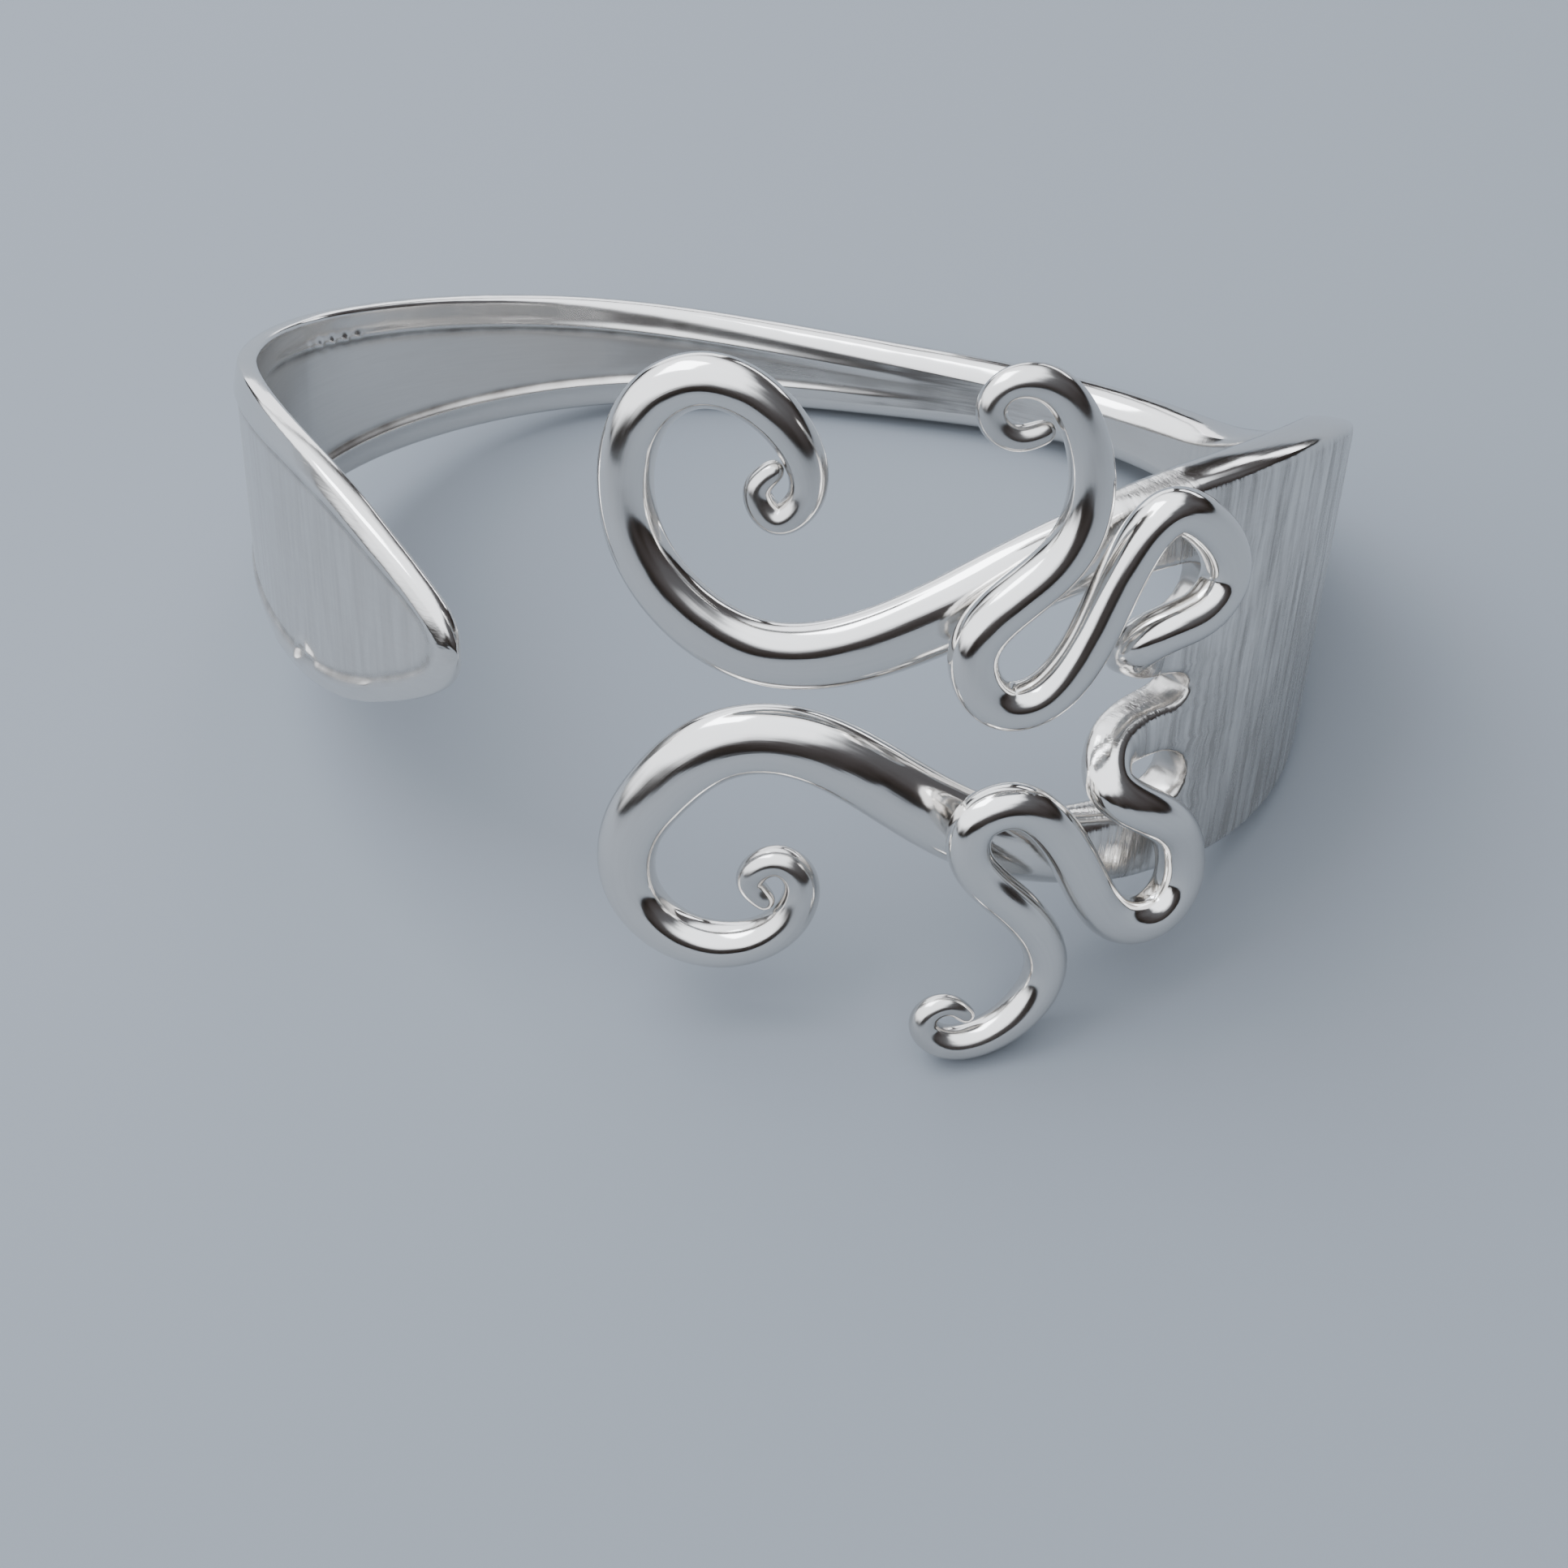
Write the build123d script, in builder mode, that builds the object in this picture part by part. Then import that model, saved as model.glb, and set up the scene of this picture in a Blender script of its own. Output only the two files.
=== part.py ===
from build123d import *
import os

# Cuff bracelet bent from one four tined fork, millimetres, +Z up.
# The handle and neck wrap the wrist, the head turns the corner at the right,
# the two outer tines end in large scrolls and the two inner tines fold back
# over the head and run as serpentines in front of them.

# Driving dimensions
HALF_ACROSS = 30.2      # half the width of the bend, measured on its middle line
HALF_DEEP = 23.0        # half the depth of the bend
STRIP = 131.5           # handle tip to tine roots, along the bend
HEAD_HALF = 11.5        # half width of the fork head
HEAD_THICK = 2.7        # thickness of the head where the tines leave it
REACH = 30.0            # how far the tines run on from their roots
TINE_WIDE = 4.0         # widest part of an outer tine
TINE_THICK = 2.5        # tine thickness across the fork's face
LAYER = 3.4             # serpentines stand this far outside the scrolls
SLOT_WIDE = 2.8         # slot between an outer and an inner tine
NOTCH_WIDE = 1.2        # slot between the two inner tines
PANEL_SHARE = 0.72      # part of the handle's width inside its raised rim
PANEL_DEEP = 0.18       # how far the panels inside that rim are set back
CUTS_PER_SPAN = 3       # lofted sections from one row of a tine to the next
REST_PITCH = 20.5       # degrees the front is lifted, lying on back edge and lower serpentine
REST_ROLL = 7.5         # degrees it leans towards the head as it lies

# Plan of the bend from handle tip to scroll ends, shares of the half sizes
BEND = [
    (-0.480, -0.878), (-0.669, -0.652), (-0.950, -0.096), (-1.000, 0.191),
    (-0.970, 0.452), (-0.447, 0.983), (0.248, 0.874), (0.682, 0.657),
    (0.851, 0.452), (1.000, -0.152), (0.937, -0.465), (0.576, -0.900),
    (0.060, -0.996), (-0.215, -0.948), (-0.460, -0.852),
]

# Handle, neck and head: share of STRIP, half width as share of HEAD_HALF,
# thickness as share of HEAD_THICK
BLADE = [
    (0.002, 0.080, 0.40), (0.006, 0.160, 0.46), (0.013, 0.240, 0.50),
    (0.025, 0.325, 0.52), (0.042, 0.420, 0.54), (0.065, 0.530, 0.56),
    (0.095, 0.620, 0.56), (0.130, 0.662, 0.56), (0.170, 0.655, 0.56),
    (0.220, 0.580, 0.56), (0.270, 0.510, 0.57), (0.320, 0.450, 0.59),
    (0.370, 0.395, 0.62), (0.420, 0.345, 0.66), (0.475, 0.296, 0.72),
    (0.530, 0.255, 0.79), (0.590, 0.224, 0.88), (0.650, 0.200, 1.00),
    (0.700, 0.190, 1.12), (0.745, 0.196, 1.20), (0.775, 0.222, 1.22),
    (0.825, 0.430, 1.14), (0.875, 0.725, 1.02), (0.925, 0.925, 1.00),
    (0.955, 0.975, 1.00), (0.985, 0.990, 1.00), (1.015, 0.975, 1.00),
]
CORNER_SHARE = 0.32     # corner radius of the strip, share of its thickness
PANEL_START = 0.025     # panels sunk in the handle's faces, first and last share of STRIP
PANEL_END = 0.590

# Tines: how far along past the roots and how far up, shares of REACH;
# how far outside the bend, share of LAYER; width, share of TINE_WIDE
UPPER_SCROLL = [
    (-0.160, 0.300, 0, 1.08), (-0.060, 0.302, 0, 1.08), (0.060, 0.300, 0, 1.08),
    (0.291, 0.250, 0, 1.07), (0.467, 0.161, 0, 0.99), (0.770, 0.087, 0, 0.87),
    (0.896, 0.167, 0, 0.79), (0.966, 0.294, 0, 0.69), (0.909, 0.513, 0, 0.67),
    (0.866, 0.533, 0, 0.65), (0.731, 0.478, 0, 0.55), (0.703, 0.337, 0, 0.37),
    (0.734, 0.319, 0, 0.34), (0.770, 0.364, 0, 0.28), (0.755, 0.394, 0, 0.24),
]
LOWER_SCROLL = [
    (-0.160, -0.300, 0, 1.08), (-0.060, -0.303, 0, 1.08), (0.060, -0.305, 0, 1.08),
    (0.340, -0.266, 0, 1.05), (0.500, -0.177, 0, 0.98), (0.728, -0.076, 0, 0.92),
    (0.803, -0.092, 0, 0.91), (0.920, -0.202, 0, 0.87), (0.961, -0.275, 0, 0.82),
    (0.960, -0.417, 0, 0.74), (0.863, -0.497, 0, 0.66), (0.687, -0.434, 0, 0.52),
    (0.680, -0.334, 0, 0.41), (0.713, -0.316, 0, 0.37), (0.758, -0.361, 0, 0.30),
    (0.745, -0.392, 0, 0.26),
]
UPPER_SERPENTINE = [
    (-0.160, 0.076, 0, 0.75), (-0.060, 0.075, 0, 0.75), (0.030, 0.073, 0.02, 0.73),
    (0.100, 0.076, 0.10, 0.68), (0.160, 0.092, 0.36, 0.62), (0.180, 0.128, 0.72, 0.59),
    (0.146, 0.166, 0.96, 0.57), (0.100, 0.186, 1.02, 0.57), (0.066, 0.228, 1.00, 0.58),
    (0.118, 0.346, 1.00, 0.58), (0.168, 0.372, 1.00, 0.57), (0.232, 0.284, 1.00, 0.58),
    (0.295, 0.116, 1.00, 0.59), (0.338, 0.068, 1.00, 0.59), (0.388, 0.062, 1.00, 0.59),
    (0.437, 0.149, 1.00, 0.61), (0.324, 0.312, 1.00, 0.60), (0.314, 0.515, 1.00, 0.50),
    (0.389, 0.598, 1.00, 0.42), (0.427, 0.590, 1.00, 0.37), (0.444, 0.560, 1.00, 0.33),
    (0.433, 0.527, 1.00, 0.30), (0.403, 0.511, 1.00, 0.27), (0.372, 0.520, 1.00, 0.23),
]
LOWER_SERPENTINE = [
    (-0.160, -0.076, 0, 0.75), (-0.060, -0.075, 0, 0.75), (0.035, -0.073, 0.02, 0.74),
    (0.110, -0.074, 0.12, 0.70), (0.176, -0.088, 0.38, 0.66), (0.196, -0.121, 0.74, 0.65),
    (0.104, -0.204, 1.02, 0.64), (0.066, -0.275, 1.00, 0.63), (0.062, -0.348, 1.00, 0.63),
    (0.098, -0.396, 1.00, 0.63), (0.158, -0.392, 1.00, 0.62), (0.210, -0.331, 1.00, 0.62),
    (0.296, -0.170, 1.00, 0.60), (0.356, -0.127, 1.00, 0.59), (0.406, -0.149, 1.00, 0.58),
    (0.417, -0.205, 1.00, 0.56), (0.338, -0.326, 1.00, 0.55), (0.275, -0.462, 1.00, 0.56),
    (0.337, -0.583, 1.00, 0.52), (0.438, -0.602, 1.00, 0.44), (0.461, -0.569, 1.00, 0.39),
    (0.450, -0.537, 1.00, 0.34), (0.422, -0.529, 1.00, 0.29), (0.395, -0.550, 1.00, 0.25),
]

UP = Vector(0, 0, 1)

with BuildLine() as plan:
    Spline(*[(x * HALF_ACROSS, y * HALF_DEEP) for x, y in BEND])
bend = plan.edge()


def station(length):
    """Point, running direction and outward direction at a length along the bend."""
    point = bend.position_at(length, position_mode=PositionMode.LENGTH)
    run = bend.tangent_at(length, position_mode=PositionMode.LENGTH)
    return point, run, UP.cross(run)


def across(length):
    """Section plane of the strip: x points outward, y points up."""
    point, run, outward = station(length)
    return Plane(origin=point, x_dir=outward, z_dir=run)


def bent(along, up, out):
    """A place given on the flat fork, carried round the bend."""
    point, run, outward = station(STRIP + along * REACH)
    return point + UP * (up * REACH) + outward * (out * LAYER)


def blade():
    """Handle, neck and head as one lofted strip."""
    with BuildPart() as strip:
        for share, half, thick in BLADE:
            wide, deep = 2 * half * HEAD_HALF, thick * HEAD_THICK
            with BuildSketch(across(share * STRIP)):
                RectangleRounded(deep, wide, CORNER_SHARE * min(wide, deep))
        loft()
    return strip.part


def panel(face):
    """Cutter for the shallow panel of one face: 1 is outside, -1 is inside."""
    with BuildPart() as cutter:
        for share, half, thick in [row for row in BLADE if PANEL_START <= row[0] <= PANEL_END]:
            deep = thick * HEAD_THICK
            with BuildSketch(across(share * STRIP)):
                with Locations((face * (deep - PANEL_DEEP), 0)):
                    Rectangle(deep, 2 * half * HEAD_HALF * PANEL_SHARE)
        loft()
    return cutter.part


def tine(rows):
    """One tine, lofted through ovals at and between its rows, with a round tip."""
    points = [bent(along, up, out) for along, up, out, wide in rows]
    path = Spline(*points)
    marks = [(path.param_at_point(point), row[3] * TINE_WIDE) for point, row in zip(points, rows)]
    cuts = marks[:1]
    for (mark, wide), (next_mark, next_wide) in zip(marks, marks[1:]):
        for step in range(1, CUTS_PER_SPAN + 1):
            share = step / CUTS_PER_SPAN
            cuts.append((mark + share * (next_mark - mark), wide + share * (next_wide - wide)))
    side = UP
    with BuildPart() as body:
        for mark, wide in cuts:
            run = path.tangent_at(mark)
            side = (side - run * side.dot(run)).normalized()
            with BuildSketch(Plane(origin=path.position_at(mark), x_dir=side, z_dir=run)):
                Ellipse(wide / 2, min(wide, TINE_THICK) / 2)
        loft()
        with Locations(points[-1]):
            Sphere(rows[-1][3] * TINE_WIDE / 2)
    return body.part


with BuildPart() as cuff:
    add(blade())
    add(panel(1), mode=Mode.SUBTRACT)
    add(panel(-1), mode=Mode.SUBTRACT)
    for up, wide in ((0, NOTCH_WIDE), (0.177, SLOT_WIDE), (-0.177, SLOT_WIDE)):
        point, run, outward = station(BLADE[-1][0] * STRIP)
        with Locations(Plane(origin=point + UP * (up * REACH), x_dir=run, z_dir=outward)):
            Cylinder(wide / 2, 3 * HEAD_THICK, mode=Mode.SUBTRACT)
    for rows in (UPPER_SCROLL, LOWER_SCROLL, UPPER_SERPENTINE, LOWER_SERPENTINE):
        add(tine(rows))

# The cuff as it lies by itself, its lowest point at height zero
lying = cuff.part.rotate(Axis.X, -REST_PITCH).rotate(Axis.Y, REST_ROLL)
reach = lying.bounding_box()
fork_cuff = Pos(-reach.center().X, -reach.center().Y, -reach.min.Z) * lying
fork_cuff.label = "fork_cuff"

os.makedirs("parts", exist_ok=True)
export_step(fork_cuff, "parts/fork_cuff.step")
box = fork_cuff.bounding_box()
print("solids", len(fork_cuff.solids()), "valid", fork_cuff.is_valid, "volume", round(fork_cuff.volume, 1))
print("box", [round(v, 2) for v in (*box.min, *box.max)])
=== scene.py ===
"""Cuff bracelet bent from one silver plated fork, dressed round its fixed frame.

The fork is described flat, in millimetres: how far along it from the handle's tip, how far
across, and how far out of its face. One bend then carries it round the wrist, and one turn
lays the bent cuff on the floor as it lies by itself.
"""

from __future__ import annotations

import logging
import math
from dataclasses import dataclass, field
from enum import Enum

import bpy
import numpy as np
from mathutils import Matrix, Vector

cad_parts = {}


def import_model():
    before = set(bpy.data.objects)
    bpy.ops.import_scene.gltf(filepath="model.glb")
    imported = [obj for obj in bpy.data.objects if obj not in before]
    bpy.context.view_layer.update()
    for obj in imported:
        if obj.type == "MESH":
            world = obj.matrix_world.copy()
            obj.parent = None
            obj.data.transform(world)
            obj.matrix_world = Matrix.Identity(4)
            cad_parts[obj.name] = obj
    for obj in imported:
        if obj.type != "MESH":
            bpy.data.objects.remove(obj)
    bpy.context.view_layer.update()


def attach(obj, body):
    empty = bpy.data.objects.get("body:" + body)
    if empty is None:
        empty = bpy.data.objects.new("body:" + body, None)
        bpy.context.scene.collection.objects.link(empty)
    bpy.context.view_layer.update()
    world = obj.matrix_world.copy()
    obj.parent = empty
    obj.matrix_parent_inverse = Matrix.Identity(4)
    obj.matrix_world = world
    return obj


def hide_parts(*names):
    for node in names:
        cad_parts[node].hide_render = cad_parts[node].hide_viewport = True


LOG = logging.getLogger("cuff")
MM = 0.001
UP = np.array([0.0, 0.0, 1.0])
# Values from 0 to 1 that the metal carries at each vertex: satin where a wrist or a stamp
# has left it matt, recess where no polishing mop reaches, and the third where fine brush lines
# cross it and a darker tint is painted along them as a streaky reflection
SURFACE = ("satin", "recess", "brushed")


class Face(Enum):
    """The two faces of the strip, by the sign of their height above its middle."""

    OUTSIDE = 1
    INSIDE = -1


def linear(code: str) -> tuple[float, float, float, float]:
    """Turns an sRGB hex value into a linear colour.

    Args:
        code: six hex digits, such as "f2efe9".

    Returns:
        Linear red, green, blue and an alpha of one.
    """
    shares = [int(code[k:k + 2], 16) / 255 for k in (0, 2, 4)]
    light = [c / 12.92 if c <= 0.04045 else ((c + 0.055) / 1.055) ** 2.4 for c in shares]
    return (*light, 1.0)


def ease(low: float, high: float, value: np.ndarray) -> np.ndarray:
    """Smooth step: 0 below low, 1 above high, 3t squared less 2t cubed between."""
    t = np.clip((np.asarray(value, float) - low) / (high - low), 0.0, 1.0)
    return t * t * (3.0 - 2.0 * t)


def hump(value: np.ndarray, centre: float, width: float) -> np.ndarray:
    """Bell curve of height 1: e to the minus square of the distance over the width."""
    return np.exp(-(((value - centre) / width) ** 2))


def unit(vectors: np.ndarray) -> np.ndarray:
    """Each row divided by its own length."""
    return vectors / np.linalg.norm(vectors, axis=-1, keepdims=True)


@dataclass
class SmoothCurve:
    """Natural cubic spline: a cubic in each span, with slope and bend matched at the knots."""

    knots: np.ndarray
    values: np.ndarray
    curl: np.ndarray = field(init=False)

    def __post_init__(self) -> None:
        """Solves the three term equations for the second derivative at every knot."""
        self.knots = np.asarray(self.knots, float)
        self.values = np.asarray(self.values, float).reshape(len(self.knots), -1)
        gap = np.diff(self.knots)
        slope = np.diff(self.values, axis=0) / gap[:, None]
        system = np.eye(len(self.knots))
        inner = np.arange(1, len(self.knots) - 1)
        system[inner, inner - 1] = gap[:-1]
        system[inner, inner] = 2.0 * (gap[:-1] + gap[1:])
        system[inner, inner + 1] = gap[1:]
        right = np.zeros_like(self.values)
        right[1:-1] = 6.0 * np.diff(slope, axis=0)
        self.curl = np.linalg.solve(system, right)

    @classmethod
    def through(cls, points: np.ndarray) -> SmoothCurve:
        """A curve through points, with knots at the length of the chords between them."""
        steps = np.linalg.norm(np.diff(points, axis=0), axis=1)
        return cls(np.concatenate([[0.0], np.cumsum(steps)]), points)

    def spans(self, at: np.ndarray) -> tuple[np.ndarray, np.ndarray, np.ndarray, np.ndarray]:
        """Span number, its width, and the distances to its right and left knots."""
        at = np.asarray(at, float)
        span = np.clip(np.searchsorted(self.knots, at, side="right") - 1, 0, len(self.knots) - 2)
        gap = (self.knots[span + 1] - self.knots[span])[..., None]
        return span, gap, (self.knots[span + 1] - at)[..., None], (at - self.knots[span])[..., None]

    def __call__(self, at: np.ndarray) -> np.ndarray:
        """Values at the given places."""
        span, gap, right, left = self.spans(at)
        cubic = (self.curl[span] * right**3 + self.curl[span + 1] * left**3) / (6.0 * gap)
        start = self.values[span] / gap - self.curl[span] * gap / 6.0
        end = self.values[span + 1] / gap - self.curl[span + 1] * gap / 6.0
        return cubic + start * right + end * left

    def slope(self, at: np.ndarray) -> np.ndarray:
        """First derivative at the given places."""
        span, gap, right, left = self.spans(at)
        cubic = (self.curl[span + 1] * left**2 - self.curl[span] * right**2) / (2.0 * gap)
        chord = (self.values[span + 1] - self.values[span]) / gap
        return cubic + chord - (self.curl[span + 1] - self.curl[span]) * gap / 6.0


@dataclass
class WristBend:
    """The bend that carries the flat fork round the wrist, and how the cuff then lies."""

    half_across: float = 30.2
    half_deep: float = 23.0
    plan: tuple[tuple[float, float], ...] = (
        (-0.480, -0.878), (-0.669, -0.652), (-0.950, -0.096), (-1.000, 0.191),
        (-0.970, 0.452), (-0.447, 0.983), (0.248, 0.874), (0.682, 0.657),
        (0.851, 0.452), (1.000, -0.152), (0.937, -0.465), (0.576, -0.900),
        (0.060, -0.996), (-0.215, -0.948), (-0.460, -0.852),
    )
    rest_pitch: float = 20.5
    rest_roll: float = 7.5
    middle: tuple[float, float, float] = (-0.37, 4.07, 10.548)
    line: SmoothCurve = field(init=False)
    marks: np.ndarray = field(init=False)
    lengths: np.ndarray = field(init=False)
    turn: np.ndarray = field(init=False)

    def __post_init__(self) -> None:
        """Fits the plan's curve, measures its length and works out the lying turn."""
        self.line = SmoothCurve.through(np.array(self.plan) * [self.half_across, self.half_deep])
        self.marks = np.linspace(0.0, self.line.knots[-1], 20001)
        steps = np.linalg.norm(np.diff(self.line(self.marks), axis=0), axis=1)
        self.lengths = np.concatenate([[0.0], np.cumsum(steps)])
        pitch = Matrix.Rotation(math.radians(-self.rest_pitch), 3, "X")
        roll = Matrix.Rotation(math.radians(self.rest_roll), 3, "Y")
        self.turn = np.array(roll @ pitch)

    def station(self, length: np.ndarray) -> tuple[np.ndarray, np.ndarray, np.ndarray]:
        """Point, running direction and outward direction at lengths along the bend."""
        mark = np.interp(length, self.lengths, self.marks)
        flat = np.zeros(np.shape(mark) + (1,))
        point = np.concatenate([self.line(mark), flat], axis=-1)
        run = unit(np.concatenate([self.line.slope(mark), flat], axis=-1))
        return point, run, np.cross(UP, run)

    def carry(self, along: np.ndarray, across: np.ndarray, out: np.ndarray) -> np.ndarray:
        """Places of the flat fork, in millimetres, carried round the bend."""
        point, _, outward = self.station(along)
        return point + UP * np.asarray(across)[..., None] + outward * np.asarray(out)[..., None]

    def lay(self, points: np.ndarray) -> np.ndarray:
        """Places round the bend turned as the cuff lies, in metres of the frame."""
        return (points @ self.turn.T + np.array(self.middle)) * MM

    def aim(self, direction: np.ndarray) -> np.ndarray:
        """A direction round the bend turned as the cuff lies."""
        return np.asarray(direction, float) @ self.turn.T


@dataclass
class Shell:
    """Vertices, faces and surface values of one closed mesh while it is put together."""

    points: list[np.ndarray] = field(default_factory=list)
    values: dict[str, list[np.ndarray]] = field(default_factory=dict)
    flow: list[np.ndarray] = field(default_factory=list)
    faces: list[np.ndarray] = field(default_factory=list)
    caps: list[np.ndarray] = field(default_factory=list)
    count: int = 0

    def add(self, points: np.ndarray, flow: np.ndarray, **values: np.ndarray | float) -> np.ndarray:
        """Adds a block of vertices.

        Args:
            points: places, in an array whose last axis is x, y, z.
            flow: the same places on the flat fork: along, across and out, in millimetres.
            values: the surface values named in SURFACE, each one number or an array of the
                block's shape; a value that isn't given is 0.

        Returns:
            The vertices' numbers, in the block's shape.
        """
        shape = points.shape[:-1]
        numbers = np.arange(self.count, self.count + int(np.prod(shape))).reshape(shape)
        self.count += numbers.size
        self.points.append(points.reshape(-1, 3))
        self.flow.append(np.broadcast_to(flow, points.shape).reshape(-1, 3))
        for name in SURFACE:
            filled = np.broadcast_to(values.get(name, 0.0), shape).reshape(-1)
            self.values.setdefault(name, []).append(filled.astype(np.float32))
        return numbers

    def sheet(self, numbers: np.ndarray) -> None:
        """Joins a grid of vertex numbers with a quad for each cell."""
        quads = (numbers[:-1, :-1], numbers[1:, :-1], numbers[1:, 1:], numbers[:-1, 1:])
        self.faces.append(np.stack(quads, axis=-1).reshape(-1, 4))

    def tube(self, rings: np.ndarray) -> None:
        """Joins rings of vertex numbers, closing each ring on its own start."""
        self.sheet(np.concatenate([rings, rings[:, :1]], axis=1))

    def fan(self, ring: np.ndarray, pole: int) -> None:
        """Closes a ring with triangles to one vertex."""
        self.caps.append(np.stack([ring, np.full_like(ring, pole), np.roll(ring, -1)], axis=-1))

    def mesh(self, name: str, place: WristBend) -> bpy.types.Mesh:
        """The finished mesh, laid in the frame, its faces turned outwards.

        Args:
            name: the mesh's name.
            place: the bend whose lying turn puts the points into the frame.

        Returns:
            A mesh with the surface values and the flow as point attributes, every face smooth.
        """
        points = place.lay(np.concatenate(self.points))
        faces = [face.tolist() for block in (*self.faces, *self.caps) for face in block]
        mesh = bpy.data.meshes.new(name)
        mesh.from_pydata(points.tolist(), [], faces)
        first = np.concatenate([block[:, :3] for block in (*self.faces, *self.caps)])
        a, b, c = points[first[:, 0]], points[first[:, 1]], points[first[:, 2]]
        if np.einsum("ij,ij->", a, np.cross(b, c)) < 0.0:
            mesh.flip_normals()
        for title, blocks in self.values.items():
            layer = mesh.attributes.new(title, "FLOAT", "POINT")
            layer.data.foreach_set("value", np.concatenate(blocks))
        layer = mesh.attributes.new("flow", "FLOAT_VECTOR", "POINT")
        layer.data.foreach_set("vector", np.concatenate(self.flow).astype(np.float32).ravel())
        mesh.polygons.foreach_set("use_smooth", np.ones(len(mesh.polygons), bool))
        mesh.validate()
        mesh.update()
        return mesh


@dataclass
class Section:
    """Rounded bar section shared by the strip's edges and the tines' flanks."""

    levels: int = 5

    def edge(self, thick: np.ndarray, corner: np.ndarray | float) -> tuple[np.ndarray, np.ndarray]:
        """Rounded edge from the outside face to the inside face.

        Quarter circles of radius corner times thickness, joined by the straight rest.

        Args:
            thick: thickness of the bar, any shape.
            corner: corner radius as a share of the thickness, of a shape that fits thick's.

        Returns:
            Inset from the extreme edge and height above the middle, with a last axis of
            levels + 1 values.
        """
        thick = np.asarray(thick, float)[..., None]
        radius = np.broadcast_to(corner, thick.shape[:-1])[..., None] * thick
        angle = np.linspace(0.0, math.pi, self.levels + 1)
        height = np.sign(np.cos(angle)) * (thick / 2 - radius) * (np.abs(np.cos(angle)) > 1e-6)
        return radius * (1.0 - np.sin(angle)), height + radius * np.cos(angle)


@dataclass
class Tine:
    """One tine: its route past the roots, its width and the columns it grows from.

    Rows hold: along and up as shares of reach, out as a share of layer, width as a share of
    wide. Past tip_share of its length the section turns plain oval and less polish reaches it.
    """

    name: str
    rows: tuple[tuple[float, float, float, float], ...]
    columns: tuple[int, int]
    reach: float = 30.0
    layer: float = 3.4
    wide: float = 4.0
    thick: float = 2.5
    root_corner: float = 0.20
    root_length: float = 7.0
    power: float = 2.2
    tip_share: float = 0.70
    tip_angles: tuple[float, ...] = (35.0, 65.0)
    curl_recess: float = 0.35

    def sizes(self) -> np.ndarray:
        """The rows in millimetres."""
        return np.array(self.rows) * [self.reach, self.reach, self.layer, self.wide]

    def at(self, along: np.ndarray) -> np.ndarray:
        """Up, out and width in millimetres near the root, by the length along the fork."""
        rows = self.sizes()[:4]
        columns = [np.interp(along, rows[:, 0], rows[:, k]) for k in (1, 2, 3)]
        return np.stack(columns, axis=-1)

    def route(self, bend: WristBend, strip: float, start: float,
              step: float = 0.68, turn: float = 11.0) -> tuple[np.ndarray, np.ndarray, np.ndarray]:
        """Places, directions and widths of the rings, closer together where the tine curls.

        Args:
            bend: the bend that carries the tine.
            strip: length from the handle's tip to the tine roots.
            start: length past the roots where the rings begin.
            step: longest distance between rings, in millimetres.
            turn: most that the tine turns from ring to ring, in degrees.

        Returns:
            Ring middles, running directions and widths, without the ring at start itself.
        """
        rows = self.sizes()
        line = SmoothCurve.through(bend.carry(strip + rows[:, 0], rows[:, 1], rows[:, 2]))
        widths = SmoothCurve(line.knots, rows[:, 3])
        begin = np.interp(start, rows[:4, 0], line.knots[:4])
        marks = np.linspace(begin, line.knots[-1], 4001)
        places = line(marks)
        run = unit(line.slope(marks))
        moved = np.linalg.norm(np.diff(places, axis=0), axis=1) / step
        bent = np.degrees(np.arccos(np.clip((run[1:] * run[:-1]).sum(1), -1.0, 1.0))) / turn
        cost = np.concatenate([[0.0], np.cumsum(np.hypot(moved, bent))])
        chosen = np.interp(np.linspace(0.0, cost[-1], int(cost[-1]) + 2)[1:], cost, marks)
        return line(chosen), unit(line.slope(chosen)), widths(chosen)[:, 0]

    def ring(self, width: np.ndarray, length: np.ndarray, section: Section) -> tuple[np.ndarray, np.ndarray]:
        """Offsets of the rings: across the tine and out of its face.

        The root is the head's crisp bar. It passes into a superellipse, whose half axes are
        raised to two over its power, and that into a plain ellipse at the tip.

        Args:
            width: the tine's width at each ring.
            length: each ring's distance from the root, along the tine.
            section: the shared bar section.

        Returns:
            Offsets across and out, one row for each ring.
        """
        thick = np.minimum(width, self.thick)
        inset, height = section.edge(thick, self.root_corner)
        spans, levels = self.columns[1] - self.columns[0], section.levels
        face = (width / 2 - inset[:, 0])[:, None] * np.linspace(-1.0, 1.0, spans + 1)
        flank = (width / 2)[:, None] - inset[:, 1:-1]
        level = height[:, 1:-1]
        flat = np.broadcast_to(thick[:, None] / 2, face.shape)
        bar = (np.concatenate([face, flank, face[:, ::-1], -flank[:, ::-1]], axis=1),
               np.concatenate([flat, level, -flat, level[:, ::-1]], axis=1))
        quarter = math.pi / 4
        half_ring = np.concatenate([np.linspace(3 * quarter, quarter, spans + 1),
                                    np.linspace(quarter, -quarter, levels + 1)[1:-1]])
        angle = np.concatenate([half_ring, half_ring - math.pi])
        power = self.power + (2.0 - self.power) * ease(self.tip_share, 1.0, length / length[-1])
        cos, sin = np.cos(angle), np.sin(angle)
        share = (2.0 / power)[:, None]
        oval = (width[:, None] / 2 * np.sign(cos) * np.abs(cos) ** share,
                thick[:, None] / 2 * np.sign(sin) * np.abs(sin) ** share)
        soft = ease(0.0, self.root_length, length)[:, None]
        return tuple(first + (second - first) * soft for first, second in zip(bar, oval))

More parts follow.
